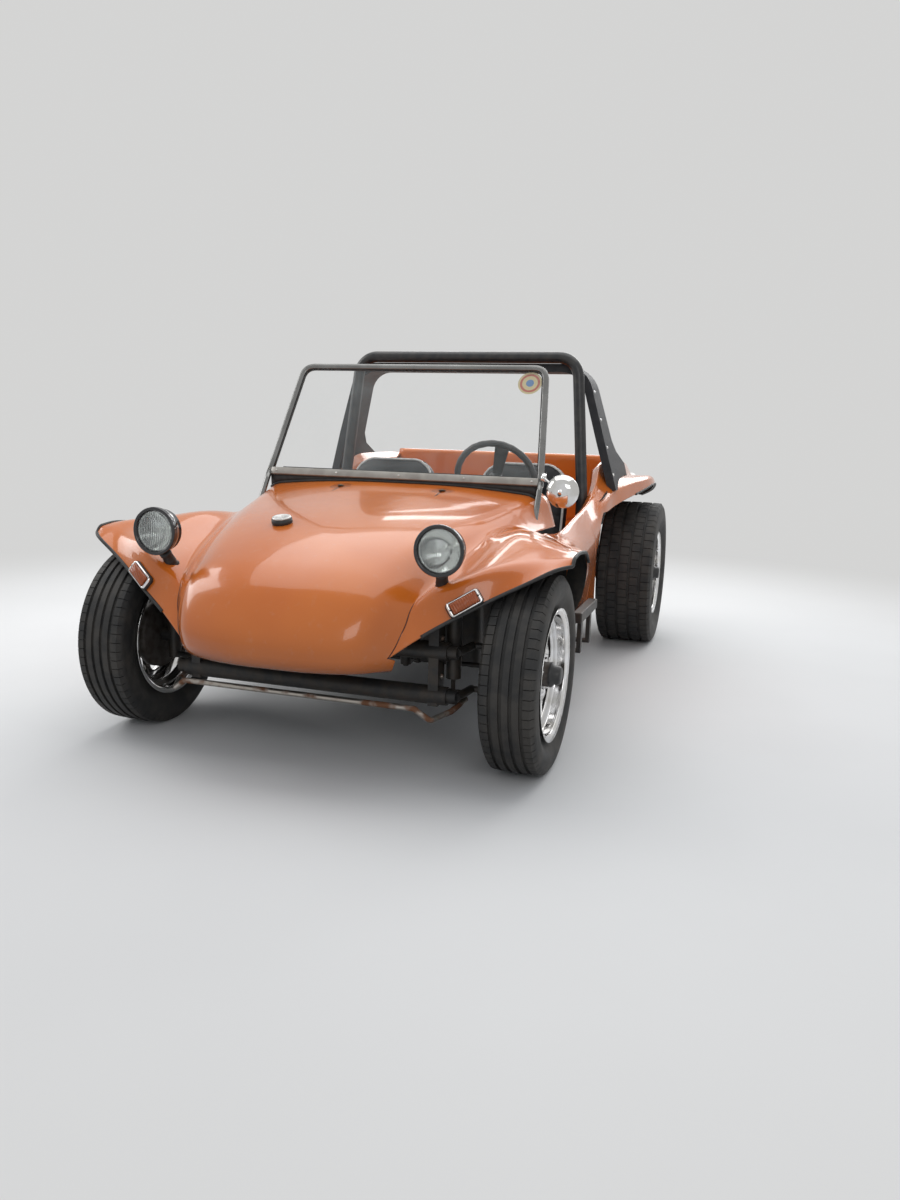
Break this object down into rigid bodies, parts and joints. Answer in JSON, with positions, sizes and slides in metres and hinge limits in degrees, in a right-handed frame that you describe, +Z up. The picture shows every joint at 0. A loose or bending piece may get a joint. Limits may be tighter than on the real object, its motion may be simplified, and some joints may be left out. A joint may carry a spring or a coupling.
{
  "type": "dune buggy",
  "caption": "Open short-wheelbase dune buggy with a one-piece style orange moulded body, upright windscreen, roll hoop, rear roof band, wide rear tyres and an open rear engine.",
  "frame": {"origin": "on the ground under the middle of the overall length and width", "axes": "+X to the car's left, +Y to its tail, +Z up"},
  "size_m": [1.712, 3.1467, 1.387],
  "materials": {
    "orange_body": "glossy gelcoat",
    "black_paint": "satin",
    "black_plastic": "satin",
    "black_vinyl": "satin",
    "chrome": "polished",
    "aluminium": "brushed",
    "bare_steel": "weathered",
    "engine_metal": "satin",
    "tyre": "worn",
    "glass": "clear",
    "lamp_glass": "ribbed",
    "amber": "glossy",
    "red": "glossy"
  },
  "bodies": {
    "chassis": {"hood_nose": "orange_body", "front_wing_left": "orange_body", "front_wing_right": "orange_body", "body_side_left": "orange_body", "body_side_right": "orange_body", "rear_wing_left": "orange_body", "rear_wing_right": "orange_body", "rear_deck": "orange_body", "tub": "orange_body", "platform": "black_paint", "dash": "black_plastic", "fuel_tank": "black_paint", "screen_frame": "aluminium", "screen_glass": "glass", "mirror": "chrome", "roll_hoop": "black_paint", "roof_band": "black_plastic", "seat_driver": "black_vinyl", "seat_passenger": "black_vinyl", "steering_column": "black_paint", "controls": "black_paint", "front_beam": "black_paint", "anti_roll_bar": "bare_steel", "rear_axle": "black_paint", "dampers": "black_paint", "engine": "engine_metal", "exhaust": "bare_steel", "headlamp_bowls": "black_paint", "headlamp_lenses": "lamp_glass", "signal_bezels": "chrome", "signal_lenses": "amber", "tail_lamps": "red"},
    "knuckle_left": {"knuckle_left": "black_paint"},
    "knuckle_right": {"knuckle_right": "black_paint"},
    "tie_rod": {"tie_rod": "black_paint"},
    "pitman_arm": {"pitman_arm": "black_paint"},
    "steering_wheel": {"steering_wheel": "black_plastic"},
    "wheel_front_left": {"tyre_front_left": "tyre", "rim_front_left": "chrome"},
    "wheel_front_right": {"tyre_front_right": "tyre", "rim_front_right": "chrome"},
    "wheel_rear_left": {"tyre_rear_left": "tyre", "rim_rear_left": "chrome"},
    "wheel_rear_right": {"tyre_rear_right": "tyre", "rim_rear_right": "chrome"}
  },
  "joints": [
    {"name": "steer_left", "type": "hinge", "parent": "chassis", "child": "knuckle_left", "pos_m": [0.6, -1.087, 0.311], "axis": [0, 0, 1], "range_deg": [-27, 27]},
    {"name": "steer_right", "type": "hinge", "parent": "chassis", "child": "knuckle_right", "pos_m": [-0.6, -1.087, 0.311], "axis": [0, 0, 1], "range_deg": [-27.5, 27.5]},
    {"name": "tie_rod_pivot", "type": "hinge", "parent": "knuckle_left", "child": "tie_rod", "pos_m": [0.6, -0.977, 0.286], "axis": [0, 0, 1], "range_deg": [-27.5, 27.5]},
    {"name": "pitman_turn", "type": "hinge", "parent": "chassis", "child": "pitman_arm", "pos_m": [0.27, -1.087, 0.302], "axis": [0, 0, 1], "range_deg": [-27.5, 27.5]},
    {"name": "steering_wheel_turn", "type": "hinge", "parent": "chassis", "child": "steering_wheel", "pos_m": [0.27, -0.075, 0.842], "axis": [0, 0.9063, 0.4226], "range_deg": [-353, 353]},
    {"name": "wheel_front_left_spin", "type": "hinge", "parent": "knuckle_left", "child": "wheel_front_left", "pos_m": [0.683, -1.087, 0.311], "axis": [1, 0, 0], "continuous": true},
    {"name": "wheel_rear_left_spin", "type": "hinge", "parent": "chassis", "child": "wheel_rear_left", "pos_m": [0.72, 0.973, 0.352], "axis": [1, 0, 0], "continuous": true},
    {"name": "wheel_front_right_spin", "type": "hinge", "parent": "knuckle_right", "child": "wheel_front_right", "pos_m": [-0.683, -1.087, 0.311], "axis": [1, 0, 0], "continuous": true},
    {"name": "wheel_rear_right_spin", "type": "hinge", "parent": "chassis", "child": "wheel_rear_right", "pos_m": [-0.72, 0.973, 0.352], "axis": [1, 0, 0], "continuous": true}
  ],
  "couplings": [
    {"joint": "steer_right", "follows": "steer_left", "ratio": 1},
    {"joint": "tie_rod_pivot", "follows": "steer_left", "ratio": -1},
    {"joint": "pitman_turn", "follows": "steer_left", "ratio": 1},
    {"joint": "steering_wheel_turn", "follows": "steer_left", "ratio": 13}
  ]
}
